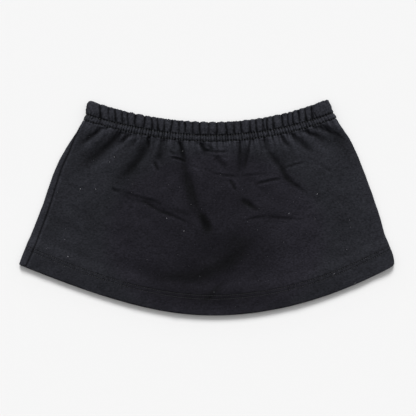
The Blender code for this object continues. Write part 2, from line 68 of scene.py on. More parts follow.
# The laid skirt, a row for each section: the distance down the centre front, where its left and right
# edges are, its height at the side folds and between them, and how far round its fold each seam lies.
Section = namedtuple("Section", "down left_x left_y right_x right_y side middle seam")
SECTIONS = [Section(*row) for row in (
    (0, -157.2, 141.8, 160, 142.7, 10.6, 9.2, 2.8), (17.5, -159.4, 123.1, 166.9, 125.1, 10.6, 9.2, 2.8),
    (25, -162.8, 116.2, 170.9, 118.5, 10.2, 9, 2.9), (42, -170.3, 102.3, 179.3, 105.1, 7.8, 6.2, 3.3),
    (60, -179, 89.6, 188.1, 92.5, 6.4, 5, 5.6), (80, -188.2, 74.3, 196.1, 76.6, 5.6, 4.6, 8),
    (105, -199.1, 53.3, 205.3, 54.7, 5.2, 4.5, 9.3), (132, -207.5, 31.1, 213.7, 32.5, 5, 4.4, 10.4),
    (158, -215, 8.5, 221.6, 10.1, 4.8, 4, 10.8), (185, -223.2, -13.7, 228.9, -12.4, 4.7, 3.5, 11.1),
    (210, -231.9, -34.6, 235.3, -34.4, 5, 3.5, 12), (226, -237.5, -48.2, 240.4, -47.8, 6.6, 6.3, 13),
    (243, -243.5, -63, 246.5, -64.2, 6.8, 6.3, 12.4), (250, -246, -70, 247.6, -73, 6.8, 6.3, 12),
    (255, -247.8, -74.8, 242.2, -79.3, 6.8, 6.3, 11.4),
)]
RIGHT_ROUNDNESS = 3.0
LEFT_ROUNDNESS_WAIST = 3.0
LEFT_ROUNDNESS_HEM = 0.65

# The largest folds of the front, each a soft trough or ridge along a line from x, y. Bend is how far
# its middle bows to its left, widths are half widths and rise is below zero for a trough. Held folds
# start at the waistband.
Fold = namedtuple("Fold", "x y to_x to_y bend width to_width rise held")
FOLDS = [Fold(*row) for row in (
    (-136, 105.5, -172, 80, 0, 4, 6, -1.4, True), (-128, 101, -168, 70, 0, 5, 7, 0.9, True),
    (-113.5, 98, -168, 55, 2.4, 4.5, 9, -2.4, True), (-101.5, 95.5, -120, 79, 0, 3.5, 4.5, -1.6, True),
    (-97, 90, -158, 40, 1, 7, 11, 1.3, False), (-76, 92.3, -118, 34, 5.5, 4, 8, -2.5, True),
    (-57, 89.5, -64, 54, 0, 3.5, 5, -1.4, True), (-36.9, 88, -9, -26, -1, 3.5, 13, -1.8, True),
    (-25, 86, -4, 20, 0, 6, 9, 0.9, True), (-8.8, 85.7, 4, 66, 0, 4.5, 8, -1.7, True),
    (26, 86, 22, 50, 0, 8, 10, 0.8, True), (44, 86, 42, 36, 0, 3.5, 4.5, -1.2, True),
    (57.5, 87.5, 49, 48, 0, 3, 4.5, -1, True), (75.5, 90, 80, 72, 0, 4.5, 6, -1.5, True),
    (78, 80, 108, 42, 0, 4.5, 6, -1.7, False), (98, 49, 136, 18, -3, 4, 5, -1.3, False),
    (98, 96, 109, 78, -1, 3, 4.5, -1, True), (112, 97, 144, 68, 1, 4, 8, -1.6, True),
    (127, 101, 163, 84, 1, 3.5, 5.5, -1.2, True), (146, 107.5, 187, 85, 2, 4.5, 8.5, -1.55, True),
    (-128, 25, -49, 0, -2, 6, 5, -1, False), (-94, 14, -24, -18, -2, 5, 5, -1, False),
    (42, 11, 68, 0, 0, 6, 6, -1.4, False), (52, -13.3, 130, -15, 0, 5, 5, -0.8, False),
    (-8, -6, 4, -36, 0, 8, 9, -1.4, False),
)]
FOLD_FADE = 0.45  # share of a fold's length over which it fades out
BAND_FADE = 5.0  # distance below the waistband over which the folds set in
HEM_FADE = 20.0  # and over which they die away, above the cloth turned up inside the hem
HEM_CLEAR = 2.0  # flat cloth between the folds' end and that turned-up cloth
LEAST_SPACE = 0.1  # least space left between the front and the back
SOFT_FLOOR = 0.6  # how softly the deepest folds flatten onto the back
FLAT_EDGE = 26.0  # how far in from the side folds the height settles
LINE_SAMPLES = 241  # places worked out along each section

# The creases between the waistband's puffs: where each crosses it, how far it leans towards +X on its
# way down, and how deep it is beside the deepest.
Crease = namedtuple("Crease", "x lean depth")
CREASES = [Crease(*row) for row in (
    (-139.5, 0.5, 1), (-128.5, 1, 0.5), (-120, 1.5, 0.9), (-111, 0.5, 0.8), (-103.5, 1, 0.7),
    (-93.5, -1.5, 1), (-82.5, -2.5, 1), (-72, 0.5, 0.8), (-64.5, 1, 0.9), (-56, -0.5, 0.7),
    (-46.5, -3, 1), (-36.5, 0.5, 0.8), (-28.5, 0, 1), (-18, 0.5, 0.8), (-8.5, 0.5, 1), (2.5, 0, 0.5),
    (13, -0.5, 0.9), (26, 2.5, 1), (36, 0.5, 0.8), (46, 2, 1), (57, 1, 0.9), (65.5, 1.5, 0.8),
    (73.5, 0.5, 0.8), (80, 0.5, 0.9), (88, 1.5, 0.9), (99, 2.5, 1), (107.5, 1, 0.7), (113.5, 1.5, 0.8),
    (121.5, 2, 1), (130, 2, 0.9), (138, 1.5, 1),
)]
END_CREASE = 0.3  # depth of the creases at the side seams
BACK_SHIFT = 4.0  # how far the back's creases lie from a true mirror image
PUFF_HEIGHT = 1.7  # crown of a puff above its creases
PUFF_SPACING = 10.0  # spacing of the creases beside a full-height puff
PUFF_LIMIT = 1.25  # height of the widest puffs, beside a full-height one
PUFF_FULLNESS = 0.85  # 1 for a sine's crown, less for a fuller one
PUFF_AT_FOLD = 1.1  # how strongly the puffs show on the fold at the waist edge

# Finer relief, which only these pieces have.
SLIT_DEPTH = 1.2  # how much deeper than its puffs the bottom of a crease is
SLIT_WIDTH = (0.65, 1.5)  # at the waist and at the upper row, where a crease is open
BAND_BULGE = 0.8  # how far the waistband swells between its fold and its stitches
STRIP_BULGE = 0.7  # and between its two stitch rows
STRIP_HIGHLIGHT = 0.30  # painted highlight low down between them
CREASE_BOW = 1.1  # how far a crease may bow to a side
CREASE_FADE = 0.7  # how much of its depth it may lose towards either end
GATHER_HEIGHT = 1.7  # soft gathers that run out of the stitches, onto the panel
GATHER_FADE = 15.0
PUCKER_HEIGHT = 2.0  # one pucker for each stitch of the waistband
PUCKER_RISE = 4.0  # how far the puckers run up onto the waistband
PUCKER_FADE = 5.0  # and out onto the panel
ROW_DEPTH = 0.9  # groove in which the waistband's upper stitches lie
LOWER_ROW_DEPTH = 0.65  # and its lower ones
ROW_WIDTH = 1.0
FOLD_CORE = 0.16  # depth of the sharper trough along a fold, beside the fold's own
CORE_WIDTH = 0.50  # and its width
PUCKER_CALM = 0.45  # how strong the puckers are towards the ends of the waist
CORNER_DROP = 4.0  # how far the waist edge rounds down at its left end
CORNER_RUN = 9.0
SEAM_DEPTH = 1.0  # how the cloth rolls down into a side seam
SEAM_WIDTH = 1.1
SEAM_LIP = 0.40  # painted highlight along the front side of the left seam
SEAM_LIP_AT = 2.9
SEAM_LIP_WIDTH = 1.3
ROLLED = 0.36  # and painted highlight between that seam and the side fold
HEM_SHADE = 0.46  # painted shade at the fold of the hem, which faces away from the light
HEM_SHADE_REACH = 1.6
HEM_ROWS = (22.2, 26.8)  # the hem's two stitch rows, above the hem
HEM_ROW_DEPTH = 0.35
HEM_ROW_WIDTH = 0.75
HEM_ROW_SHADE = (0.38, 0.50)  # painted shade along each of them, in their grooves
HEM_RIPPLE = 0.28  # height of the small ripples along the hem's stitches
HEM_RIPPLE_FADE = 5.0

# Short slits under the lower stitch row: where each starts and how far it leans towards +X.
Slit = namedtuple("Slit", "x lean length depth")
SLITS = [Slit(*row) for row in (
    (-144.7, -7, 12, 0.6), (-130, -5, 8, 0.4), (-116, -9, 18, 1.2), (-109, -3, 7, 0.3),
    (-97.2, -5, 11, 0.6), (-86, -2, 7, 0.4), (-76.1, -1.5, 19, 1.5), (-65.5, -1, 9, 0.8),
    (-55.6, -0.5, 12, 1.1), (-46.5, 0.5, 7, 0.4), (-36.5, 4, 17, 1.5), (-24.6, 1, 9, 0.6),
    (-16.5, 0.5, 6, 0.4), (-8.8, 3.5, 12, 1), (2, 0.5, 7, 0.3), (12.5, 0, 6, 0.3), (28.5, 0, 7, 0.4),
    (44, -0.5, 24, 1.2), (57.2, -2.5, 20, 1.5), (65.5, 0, 7, 0.4), (75.2, 1.5, 13, 1.4),
    (86.5, 1.5, 7, 0.4), (98.1, 6, 19, 1.4), (110.5, 9, 20, 1.1), (129.8, 10, 16, 1.1),
    (140.5, 9, 12, 0.8), (150.3, 15, 19, 1.2),
)]
SLIT_HALF = 1.3  # half width of such a slit

# Sharper wrinkles of the front, each a narrow trough along a line, or a ridge below zero depth.
Wrinkle = namedtuple("Wrinkle", "x y to_x to_y bend width depth")
WRINKLES = [Wrinkle(*row) for row in (
    (-144, 111, -164, 97, 0, 3, -0.15), (-131, 104.5, -163, 77, 0, 3.4, -0.45),
    (-94, 96, -130, 68, 0, 3, -0.7), (-87, 89, -104, 68, 0, 3, -0.35), (-62, 87, -76, 60, 0, 3.4, -0.5),
    (-28, 88, -22, 64, 0, 3, -0.45), (-14, 84, -3, 62, 0, 3.4, -0.35),
    (106, 95, 125, 66, 0, 3.2, -0.38), (121, 98.5, 160, 73, 0, 4.5, -0.35),
    (149, 101, 169, 89, 0, 2.8, -0.35), (165, 111, 182, 100, 0, 3, -0.5),
    (-134.8, 105.8, -168.5, 82.5, 0, 2, 0.6), (-126.5, 104.5, -132.5, 93, 0, 1.8, 0.7),
    (-112.5, 99, -143, 73, 2, 2.6, 0.6), (-102, 95.5, -114, 86.5, 0, 1.8, 0.6),
    (-89.5, 92, -96.5, 84, 0, 1.6, 0.6), (-75.8, 93, -78, 77, 1.5, 2.2, 0.9),
    (-77, 80, -105, 50, 2.5, 3.2, 0.45), (-126, 27, -112, 23.5, -2.5, 2, 1),
    (-114, 22.8, -58, 6.7, -1.2, 1.6, 0.52), (-87, 10.5, -53, 3.5, 1, 2.4, 0.28),
    (-87, 10, -62, -5, 0.6, 1.5, 0.8), (-66, -3.6, -21, -21.5, 1.2, 1.7, 0.95),
    (-49, -1.5, -22, -10.5, 0, 3.6, 0.5), (-48.5, 66.6, -26, 60.5, 1, 1.5, 1.5),
    (-50.5, 74.5, -40, 68.5, 0.5, 1.7, 0.6), (-69.5, 61.5, -63.5, 48.5, 0, 2.3, 1.6),
    (-22, 55.5, -8, 52, 0.5, 1.6, 0.5), (-8, 52, 8, 47, 0.5, 1.5, 0.3),
    (-36.5, 88, -28.5, 61, 0.6, 2.2, 1.1), (-21, 45, -7, -10, -2.5, 2.2, 0.4),
    (-8.8, 86, -2, 75, -0.8, 1.8, 1.1), (-4, 76, 6.5, 75, 0, 1.7, 1),
    (2, 74.6, 28, 73.6, -0.6, 1.6, 0.75), (1, 83.5, 10.5, 75.5, -0.8, 1.8, 0.9),
    (9, 70, 26.5, 52.5, 0, 3.4, 0.95), (20, 70, 27, 64, 0, 2, 0.4), (5, 46.5, 46, 41, -1.2, 1.5, 0.8),
    (44, 41, 76, 44.5, 0.8, 1.5, 0.65), (44.5, 86, 42, 38, 0.6, 1.6, 0.35),
    (57.5, 90, 46.5, 40, 0.8, 1.6, 0.45), (29, 38, 39, 22, 0.8, 2.2, 1.3),
    (62, 30.5, 101, 38.5, 1, 1.8, 1.35), (100, 51.5, 130, 60, 1, 1.5, 1.1),
    (79, 76, 101, 51, -1, 2.8, 0.5), (97, 57, 109.5, 33, -0.8, 3.2, 1),
    (105, 39, 134, 19.5, -1.2, 1.9, 0.5), (138, 65.5, 169, 46.5, -1, 1.8, 0.45),
    (175, 52.5, 190, 50, 0, 1.6, 0.3), (98, 97, 111, 78, -1, 2, 0.85),
    (110.5, 97.5, 140.5, 72, 0, 2.6, 0.5), (126.5, 101.5, 149.5, 93, 0, 1.9, 0.6),
    (144.5, 107, 183, 89, 1, 1.7, 0.6), (154, 110, 181, 91, 0, 1.5, 0.5),
    (44, 10.5, 60, 2.5, 0.8, 2.8, 0.6), (54, 5.5, 71, -4, -0.8, 2.6, 0.9),
    (46, -17, 82, -10.5, 0.6, 1.7, 0.7), (80, -11, 130, -15.5, -0.6, 1.5, 0.55),
    (-11, -5, 4, -32, 1.2, 4.4, 1.4), (16, 12, 34, 9, 0.4, 1.9, 0.17),
    (-40, 25, -24, 22, 0.6, 1.9, 0.17), (112, 0, 150, -4, 1.5, 2.4, 0.17),
    (-150, -20, -128, -26, 1, 2.6, 0.14), (148, -52, 186, -40, 1.2, 2.6, 0.14),
)]
WRINKLE_LIP = 0.30  # height of the lip along a wrinkle, beside its depth

DEEPEST = 1.15  # the most that any fine relief goes into the wall, 1.3 mm thick

# Painted shade keeps what lies low in its full black, and painted highlight makes what stands up paler.
FINE_RELIEF_SHADE = 0.60  # how fast the shade changes with a panel's fine relief, for each mm
BAND_RELIEF_SHADE = 1.00  # and with the waistband's
BULGE_RELIEF_SHADE = 0.50  # and with its bulges
FOLD_RELIEF_SHADE = 0.26  # and with the folds
PALEST = 0.60  # the logarithm of the palest that this can make the shade
BAND_SHADE = 0.86  # shade of the waistband, beside the panels'
UNDER_ROW_PALER = 0.50  # how much paler the cloth is made just under the stitches
UNDER_ROW_PALER_DOWN = 30.0  # how far down the skirt that is
UNDER_ROW_PALER_REACH = 8.0

# Soft patches: painted shade along folds and in hollows, and broad darker and paler places. Centre, half
# sizes, how far each is turned towards +Y, in degrees, and how much darker it is, or paler below zero.
Patch = namedtuple("Patch", "x y half_x half_y turn strength")
SHADE_PATCHES = [Patch(*row) for row in (
    (-126.5, 104.5, 9, 5, 0, 0.24), (-27, 87, 6, 7, 0, 0.24), (28, 86.5, 6, 7, 0, 0.24),
    (128.5, 101, 7, 5, 0, 0.24), (14, -10, 105, 100, 0, 0.38), (-100, -10, 55, 85, 0, 0.17),
    (22, -68, 60, 26, 8, 0.34), (-45, -86, 54, 18, -10, 0.27), (45, -43, 28, 11, 4, 0.32),
    (36, -65, 25, 10, 38, 0.42), (6, -83, 27, 9, 20, 0.34), (-32, -91, 34, 8, 2, 0.36),
    (-78, -82, 26, 9, -30, 0.2), (76, -70, 22, 11, 20, 0.2), (-62, -105, 72, 10, -13, 0.2),
    (80, -100, 50, 10, 14, 0.12), (49, 66, 24, 6, -84, 0.3), (9, -111.5, 19, 4, 47, 0.44),
    (1, -28, 11, 14, 0, 0.3), (-22, 22, 32, 6.5, -72, 0.22), (53, 4, 16, 7, -25, 0.26),
    (106, 42, 15, 9, -60, 0.3), (179, 82, 18, 8, -50, 0.3), (-153, 65, 24, 8, 38, 0.36),
    (-103, 51, 26, 7, 50, 0.36), (-62, 68, 18, 4, -80, 0.2), (55, 84, 80, 9, 2, -0.28),
    (125, 85, 60, 26, -35, -0.22), (20, -118, 110, 20, 0, 0.4), (-150, 40, 30, 22, 50, -0.21),
    (215, 20, 90, 25, -68, -0.17), (240, -50, 30, 12, -75, -0.16),
)]
SWELL = Patch(2, -22, 105, 42, 0, 1.1)  # where the front stands away from the back, as a height

Waves = namedtuple("Waves", "seed count length spread stretch height")
PANEL_WAVES = (
    Waves(11, 26, 42.0, 0.35, 1.0, 0.32),
    Waves(12, 40, 15.0, 0.35, 0.75, 0.10),
    Waves(13, 60, 5.5, 0.30, 0.6, 0.030),
)
EDGE_SWELL = 0.25  # how much of the panels' swell is left at the side edges, which lie straight
BAND_WAVES = (
    Waves(21, 40, 5.0, 0.4, 3.0, 0.14),
    Waves(22, 40, 9.0, 0.4, 2.0, 0.16),
)

FLOOR_GAP = 0.05  # the lowest that the cloth reaches, above the floor

# Camera and light.
PHOTO_MM = 1.32  # millimetres for each pixel of the photo
PHOTO_PIXELS = 416
ORIGIN_PX = 206.65  # the origin's place in the photo
ORIGIN_PY = 207.9
LENS = 100.0
SENSOR = 36.0
OUTLINE_HEIGHT = 3.5  # height of the outline that the photo's scale holds for


def through_rows(name, down):
    """A column of SECTIONS at a distance down the skirt, on a curve that never overshoots its rows."""
    rows, values = np.array([(section.down, getattr(section, name)) for section in SECTIONS]).T
    steps = np.diff(rows)
    secants = np.diff(values) / steps
    slopes = [secants[0]]
    for before, after in zip(secants, secants[1:]):
        slopes.append(2 * before * after / (before + after) if before * after > 0 else 0.0)
    slopes.append(secants[-1])
    index = int(np.clip(np.searchsorted(rows, down) - 1, 0, len(steps) - 1))
    step = steps[index]
    share = (down - rows[index]) / step
    rest = 1 - share
    start = (1 + 2 * share) * values[index] + share * step * slopes[index]
    end = (3 - 2 * share) * values[index + 1] - rest * step * slopes[index + 1]
    return float(rest ** 2 * start + share ** 2 * end)


def smooth_step(value, low, high):
    """0 below low, 1 above high, and a smooth rise between them."""
    share = np.clip((value - low) / (high - low), 0.0, 1.0)
    return share * share * (3 - 2 * share)


def hump(distance, width):
    """A soft hump, 1 high, across a distance from its middle."""
    return np.exp(-(distance / width) ** 2)


def groove(distance, depth, width):
    """A soft groove across a distance from its middle."""
    return -depth * hump(distance, width)


def patch_at(patch, x, y):
    """How strong a soft patch is at each place."""
    turn = math.radians(patch.turn)
    along = (x - patch.x) * math.cos(turn) + (y - patch.y) * math.sin(turn)
    aside = (y - patch.y) * math.cos(turn) - (x - patch.x) * math.sin(turn)
    return patch.strength * hump(along, patch.half_x) * hump(aside, patch.half_y)


def section_line(down):
    """Where a section runs, seen from above: its x and y, and the distance along it, from the left."""
    left_x, left_y, right_x, right_y = (through_rows(name, down) for name in Section._fields[1:5])
    centre_y = WAIST_Y - down
    left_round = LEFT_ROUNDNESS_WAIST + (LEFT_ROUNDNESS_HEM - LEFT_ROUNDNESS_WAIST) * down / LENGTH
    x = np.linspace(left_x, right_x, LINE_SAMPLES)
    on_left = x < CENTRE_X
    reach = np.abs(x - CENTRE_X) / np.where(on_left, CENTRE_X - left_x, right_x - CENTRE_X)
    roundness = np.where(on_left, left_round, RIGHT_ROUNDNESS)
    bow = (np.hypot(reach, roundness) - roundness) / (np.hypot(1.0, roundness) - roundness)
    y = centre_y + (np.where(on_left, left_y, right_y) - centre_y) * bow
    along = np.concatenate(([0.0], np.cumsum(np.hypot(np.diff(x), np.diff(y)))))
    return x, y, along


def beside_line(line, x, y):
    """The share along a fold's or wrinkle's line, and the distance to its left, for each place."""
    run_x = line.to_x - line.x
    run_y = line.to_y - line.y
    run = math.hypot(run_x, run_y)
    share = ((x - line.x) * run_x + (y - line.y) * run_y) / run ** 2
    aside = ((y - line.y) * run_x - (x - line.x) * run_y) / run
    within = np.clip(share, 0.0, 1.0)
    return share, within, aside - line.bend * 4 * within * (1 - within)


def fold_rise(x, y, narrow=1.0):
    """Height of the folds, at places seen from above, with their widths narrowed."""
    rise = np.zeros_like(x)
    for fold in FOLDS:
        share, within, aside = beside_line(fold, x, y)
        width = (fold.width + (fold.to_width - fold.width) * within) * narrow
        fade = 1 - smooth_step(share, 1 - FOLD_FADE, 1.0)
        if not fold.held:
            fade *= smooth_step(share, 0.0, FOLD_FADE)
        rise += fold.rise * fade * hump(aside, width)
    return rise


def front_height(down, x, y, from_side):
    """Height of the front's outer surface, at places at a distance from the nearer side fold."""
    side = through_rows("side", down)
    middle = through_rows("middle", down)
    flat = smooth_step(from_side, 0.0, FLAT_EDGE)
    below_band = smooth_step(down, LOWER_ROW, LOWER_ROW + BAND_FADE)
    last_fold = LENGTH - TURN_UP - HEM_CLEAR
    above_hem = 1 - smooth_step(down, last_fold - HEM_FADE, last_fold)
    height = middle + (fold_rise(x, y) + patch_at(SWELL, x, y)) * below_band * above_hem
    least = TWO_LAYERS + LEAST_SPACE
    height = 0.5 * (height + least + np.hypot(height - least, SOFT_FLOOR))
    return side + (height - side) * flat


class Ring:
    """The outer surface at one section, with every place on it given by its girth.

    Girth is the distance round the section from the outermost point of the left fold, over the front
    and on under the back. Below zero it runs from the left fold under the back.
    """

    def __init__(self, down):
        self.down = down
        self.radius = through_rows("side", down) / 2
        self.turn = math.pi / 2 * self.radius
        self.x, self.y, self.along = section_line(down)
        self.width = self.along[-1]
        self.over = self.width - 2 * self.radius + 2 * self.turn
        self.seam = through_rows("seam", down)

    def share(self, girth):
        """Share of the way round the skirt, from 0 to 1, for each girth."""
        return (girth / (2 * self.over)) % 1.0

    def from_left(self, girth):
        """Distance from the left fold, over the front or under the back, for each girth."""
        return np.where(girth < 0, -girth, np.where(girth > self.over, 2 * self.over - girth, girth))

    def girth_at(self, x):
        """Girth of a place on the front, from its x."""
        return np.interp(x, self.x, self.along) - self.radius + self.turn

    def surface(self, girth):
        """Points of the outer surface, its outward normals, and the way to the waist edge."""
        girth = np.asarray(girth, dtype=float)
        on_back = (girth < 0) | (girth > self.over)
        run = self.from_left(girth)
        from_edge = np.minimum(run, self.over - run)
        angle = np.clip(from_edge / self.radius, 0.0, math.pi / 2)
        inset = self.radius + np.maximum(from_edge - self.turn, 0.0)
        on_left = run < self.over / 2
        across = np.where(on_left, inset, self.width - inset)
        x = np.interp(across, self.along, self.x)
        y = np.interp(across, self.along, self.y)
        tangent = self.tangent(across)
        upright = np.where(on_back, -1.0, 1.0)
        outward = np.where(on_left, -1.0, 1.0) * np.cos(angle)
        normal = np.column_stack((tangent * outward[:, None], upright * np.sin(angle)))
        height = front_height(self.down, x, y, inset - self.radius)
        middle = np.where(on_back, self.radius, height - self.radius)
        points = np.column_stack((x, y, middle)) + normal * self.radius
        return points, normal, self.to_waist(across / self.width)

    def tangent(self, across):
        """Unit direction of the section towards +X, seen from above."""
        behind, ahead = np.clip((across - 1.0, across + 1.0), 0.0, self.width)
        run_x, run_y = (
            np.interp(ahead, self.along, at) - np.interp(behind, self.along, at) for at in (self.x, self.y)
        )
        return np.column_stack((run_x, run_y)) / np.hypot(run_x, run_y)[:, None]

    def to_waist(self, share):
        """Unit direction towards the waist edge, at shares of the section's width."""
        ends = []
        for down in (max(self.down - 1.0, 0.0), min(self.down + 1.0, LENGTH)):
            x, y, along = section_line(down)
            ends.append([np.interp(share, along / along[-1], at) for at in (x, y)])
        run = np.subtract(*ends)
        return np.column_stack((*(run / np.hypot(*run)), np.zeros_like(share)))


def wave_height(waves, x, y):
    """A random swell of the cloth: many long sine waves in random directions, the same each run."""
    rng = np.random.default_rng(waves.seed)
    height = np.zeros_like(x)
    for _ in range(waves.count):
        direction = rng.uniform(0.0, math.pi)
        length = waves.length * math.exp(rng.normal(0.0, waves.spread))
        phase = rng.uniform(0.0, 2 * math.pi)
        across = x * math.cos(direction) * waves.stretch + y * math.sin(direction)
        height += np.sin(2 * math.pi * across / length + phase)
    return height * waves.height * math.sqrt(2.0 / waves.count)


def puff_shape(place, edges, fullness):
    """How high each place stands between the two edges about it, from 0 to 1, and its puff's number."""
    index = np.clip(np.searchsorted(edges, place) - 1, 0, len(edges) - 2)
    share = np.clip((place - edges[index]) / (edges[index + 1] - edges[index]), 0.0, 1.0)
    return np.sin(math.pi * share) ** fullness, index, share


PUCKERS = 190  # puckers all round the waist
PUCKER_RNG = np.random.default_rng(5)
PUCKER_EDGES = (np.arange(PUCKERS + 1) + PUCKER_RNG.uniform(-0.22, 0.22, PUCKERS + 1)) / PUCKERS
PUCKER_SIZES = PUCKER_RNG.uniform(0.45, 1.25, PUCKERS)

# Short creases in the puffs, up from the stitches or down from the waist edge, each at a share of the
# way round the waist.
Split = namedtuple("Split", "share start end lean depth")
SPLIT_RNG = np.random.default_rng(8)
SPLITS = []
for split_share in (np.arange(84) + SPLIT_RNG.uniform(-0.3, 0.3, 84)) / 84:
    if SPLIT_RNG.uniform() < 0.6:
        split_span = (UPPER_ROW - SPLIT_RNG.uniform(4.0, 11.0), UPPER_ROW + 2.0)
    else:
        split_span = (-4.0, SPLIT_RNG.uniform(3.0, 8.0))
    split_lean, split_depth = SPLIT_RNG.uniform((-3.5, 0.7), (3.5, 1.5))
    SPLITS.append(Split(split_share, *split_span, split_lean, split_depth))
SPLIT_WIDTH = 0.75

CREASE_BOWS = SPLIT_RNG.uniform(-CREASE_BOW, CREASE_BOW, len(CREASES))
CREASE_FADES = SPLIT_RNG.uniform(-CREASE_FADE, CREASE_FADE, len(CREASES))
GATHERS = 76  # gathers all round the waist
GATHER_EDGES = (np.arange(GATHERS + 1) + SPLIT_RNG.uniform(-0.3, 0.3, GATHERS + 1)) / GATHERS
GATHER_SIZES = SPLIT_RNG.uniform(0.4, 1.2, GATHERS)


def puff_height(ring, girth, edges, sizes, fullness):
    """Height of puffs round the waist that have a size each, at each girth."""
    puff, index, _ = puff_shape(ring.share(girth), edges, fullness)
    return (puff - 0.5) * sizes[index]


def split_relief(ring, girth):
    """Relief of the short creases in the waistband's puffs."""
    relief = np.zeros_like(girth)
    for split in SPLITS:
        share = (ring.down - split.start) / (split.end - split.start)
        if 0.0 < share < 1.0:
            aside = (ring.share(girth) - split.share) * 2 * ring.over - split.lean * (share - 0.5)
            relief += groove(aside, split.depth * math.sin(math.pi * share) ** 0.5, SPLIT_WIDTH)
    return relief


def corner_drop(ring, girth):
    """How far the waistband's left end lies below its square corner."""
    run = np.minimum(ring.from_left(girth) / CORNER_RUN, 1.0)
    return CORNER_DROP * (1 - run) ** 2 * (1 - smooth_step(ring.down, 0.0, UPPER_ROW))


def pucker_height(ring, girth):
    """Height of the small puckers beside the waistband's stitches, at each girth."""
    from_middle = np.abs(ring.from_left(girth) / ring.over - 0.5)
    strength = 1 - (1 - PUCKER_CALM) * smooth_step(from_middle, 0.28, 0.45)
    return puff_height(ring, girth, PUCKER_EDGES, PUCKER_SIZES, 1.4) * PUCKER_HEIGHT * strength


def seam_roll(ring, girth):
    """How the cloth rolls down into the two side seams."""
    places = (ring.seam, ring.over + ring.seam, ring.seam - ring.over)
    return sum(groove(girth - place, SEAM_DEPTH, SEAM_WIDTH) for place in places)


def seam_highlight(ring, girth):
    """Painted highlight beside the left seam, where the cloth rolls onto the front."""
    past = girth - ring.seam
    lip = SEAM_LIP * hump(past - SEAM_LIP_AT, SEAM_LIP_WIDTH)
    on_top = smooth_step(girth, 0.0, 3.0) * (1 - smooth_step(past, -1.6, -0.4))
    return 1 + lip + ROLLED * on_top


def band_creases(ring, is_front):
    """Girths of the waistband's creases at one section, from one seam to the other, and their depths."""
    drop = ring.down / UPPER_ROW - 0.5
    x, lean, depths = np.array(CREASES).T
    places = x + lean * drop + CREASE_BOWS * (1 - min(4 * drop * drop, 1.0))
    depths = depths * (1 + CREASE_FADES * 2 * drop)
    if is_front:
        start = ring.seam
        girths = ring.girth_at(places)
    else:
        start = ring.seam - ring.over
        girths = -ring.girth_at(BACK_SHIFT - places)
        order = np.argsort(girths)
        girths = girths[order]
        depths = depths[order]
    return np.array([start, *girths, start + ring.over]), np.array([END_CREASE, *depths, END_CREASE])


def band_relief(ring, girth, points, is_front, strength=1.0):
    """Relief of the waistband between its fold and lower stitch row, and its painted shade and highlight.
    """
    down = ring.down
    edges, depths = band_creases(ring, is_front)
    puff, index, share = puff_shape(girth, edges, PUFF_FULLNESS)
    crown = np.minimum((edges[index + 1] - edges[index]) / PUFF_SPACING, PUFF_LIMIT)
    floor = depths[index] + (depths[index + 1] - depths[index]) * share
    relief = (puff * crown - (1 - puff) * floor) * PUFF_HEIGHT / 2
    nearest = np.minimum(np.abs(girth - edges[index]), np.abs(girth - edges[index + 1]))
    slit_width = SLIT_WIDTH[0] + (SLIT_WIDTH[1] - SLIT_WIDTH[0]) * min(down / UPPER_ROW, 1.0)
    relief += groove(nearest, SLIT_DEPTH, slit_width) * floor
    relief *= 1 - 0.7 * smooth_step(down, UPPER_ROW - 2.5, UPPER_ROW)
    relief = (relief + split_relief(ring, girth)) * strength + seam_roll(ring, girth)
    relief += pucker_height(ring, girth) * smooth_step(down, UPPER_ROW - PUCKER_RISE, UPPER_ROW)
    for waves in BAND_WAVES:
        relief += wave_height(waves, points[:, 0], points[:, 1])
    relief += groove(down - UPPER_ROW, ROW_DEPTH, ROW_WIDTH)
    relief += groove(down - LOWER_ROW, LOWER_ROW_DEPTH, ROW_WIDTH)
    bulge = BAND_BULGE * math.sin(math.pi * min(down / UPPER_ROW, 1.0))
    shade = BAND_SHADE
    if down > UPPER_ROW:
        strip_share = (down - UPPER_ROW) / (LOWER_ROW - UPPER_ROW)
        bulge = STRIP_BULGE * math.sin(math.pi * strip_share)
        shade = shade * (1 + STRIP_HIGHLIGHT * math.sin(math.pi * strip_share ** 1.6))
    return kept_above(relief + bulge), painted_relief_shade(BAND_RELIEF_SHADE * relief + BULGE_RELIEF_SHADE * bulge) * shade


def kept_above(relief):
    """The relief with its deepest places drawn up, so that they stay above the inside of the wall."""
    return np.where(relief < 0, DEEPEST * np.tanh(relief / DEEPEST), relief)


def painted_relief_shade(raised):
    """Painted shade and highlight from how far the cloth stands up: 1 where that is zero."""
    return np.exp(np.minimum(raised, 0.0) + PALEST * (1 - np.exp(-np.maximum(raised, 0.0) / PALEST)))


def wrinkle_relief(x, y):
    """Relief of the sharper wrinkles: a narrow trough, with a low lip below it."""
    relief = np.zeros_like(x)
    for wrinkle in WRINKLES:
        share, _, aside = beside_line(wrinkle, x, y)
        fade = smooth_step(share, -0.05, 0.3) * (1 - smooth_step(share, 0.7, 1.05))
        lip = WRINKLE_LIP * hump(np.abs(aside) - 2.0 * wrinkle.width, wrinkle.width)
        relief += wrinkle.depth * fade * (lip - hump(aside, wrinkle.width))
    return relief


def slit_relief(down, x):
    """Relief of the slits under the lower stitch row."""
    relief = np.zeros_like(x)
    for slit in SLITS:
        share = (down - PANEL_TOP) / slit.length
        if share < 1.0:
            fade = (1 - smooth_step(share, 0.3, 1.0)) * slit.depth
            relief += groove(x - slit.x - slit.lean * share, fade, SLIT_HALF)
    return relief


def hem_ripple(down, x):
    """Height of the ripples along the hem's stitches, uneven in length."""
    from_rows = LENGTH - down - sum(HEM_ROWS) / 2
    ripple = np.sin(x * 0.92 + 2.1 * np.sin(x * 0.061)) * (0.5 + 0.5 * np.sin(x * 0.043 + 1.0))
    return HEM_RIPPLE * hump(from_rows, HEM_RIPPLE_FADE) * ripple


